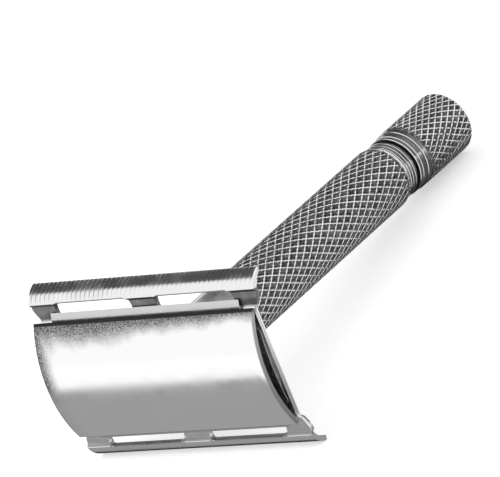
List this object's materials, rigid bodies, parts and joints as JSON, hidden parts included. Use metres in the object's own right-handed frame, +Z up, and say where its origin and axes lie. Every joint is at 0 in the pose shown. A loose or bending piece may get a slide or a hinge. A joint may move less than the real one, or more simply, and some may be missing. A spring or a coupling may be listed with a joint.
{
  "type": "safety razor",
  "caption": "Double-edge safety razor with an arched cap, a bowed blade, a slotted guard plate and a knurled handle whose end knob draws the cap down.",
  "frame": {"origin": "on the table under the middle of the razor's box, the razor lying on one guard lip and on its knob", "axes": "+X along the blade, +Y from the head towards the knob, +Z up, square to the table; the handle's own axis leans 7.17 degrees from -Y up towards the head"},
  "size_m": [0.0446, 0.0836, 0.0296],
  "materials": {
    "cap_chrome": "mirror polished chrome plate",
    "plate_chrome": "pressed sheet, chrome plated, finely ribbed guard",
    "plain_chrome": "turned and chrome plated",
    "knurled_chrome": "diamond knurled and chrome plated",
    "blade_steel": "thin strip steel with ground edges",
    "plain_steel": "plain turned steel",
    "spring_steel": "blued spring steel",
    "brass": "turned brass"
  },
  "bodies": {
    "handle": {"handle_barrel": "knurled_chrome", "head_collar": "plain_chrome", "tail_bush": "plain_chrome", "base_plate": "plate_chrome", "plate_ring": "plain_chrome"},
    "knob": {"knob": "knurled_chrome", "draw_rod": "plain_steel", "draw_socket": "brass", "socket_pin": "plain_steel", "thrust_washer": "brass", "disc_spring": "spring_steel", "retaining_clip": "spring_steel", "knob_screw": "plain_steel"},
    "cap": {"cap_shell": "cap_chrome", "cap_stud": "plain_chrome", "index_pin_left": "plain_chrome", "index_pin_right": "plain_chrome"},
    "blade": {"blade": "blade_steel"}
  },
  "joints": [
    {"name": "knob_turn", "type": "hinge", "parent": "handle", "child": "knob", "pos_m": [0, 0.03354, 0.00616], "axis": [0, 0.9922, -0.1248], "range_deg": [0, 5760]},
    {"name": "cap_lift", "type": "slide", "parent": "handle", "child": "cap", "axis": [0, -0.9922, 0.1248], "range_m": [0, 0.0128]},
    {"name": "blade_lift", "type": "slide", "parent": "handle", "child": "blade", "axis": [0, -0.9922, 0.1248], "range_m": [0, 0.0064]}
  ],
  "couplings": [
    {"joint": "cap_lift", "follows": "knob_turn", "m_per_rad": 0.00012732},
    {"joint": "blade_lift", "follows": "knob_turn", "m_per_rad": 0.000063661}
  ]
}
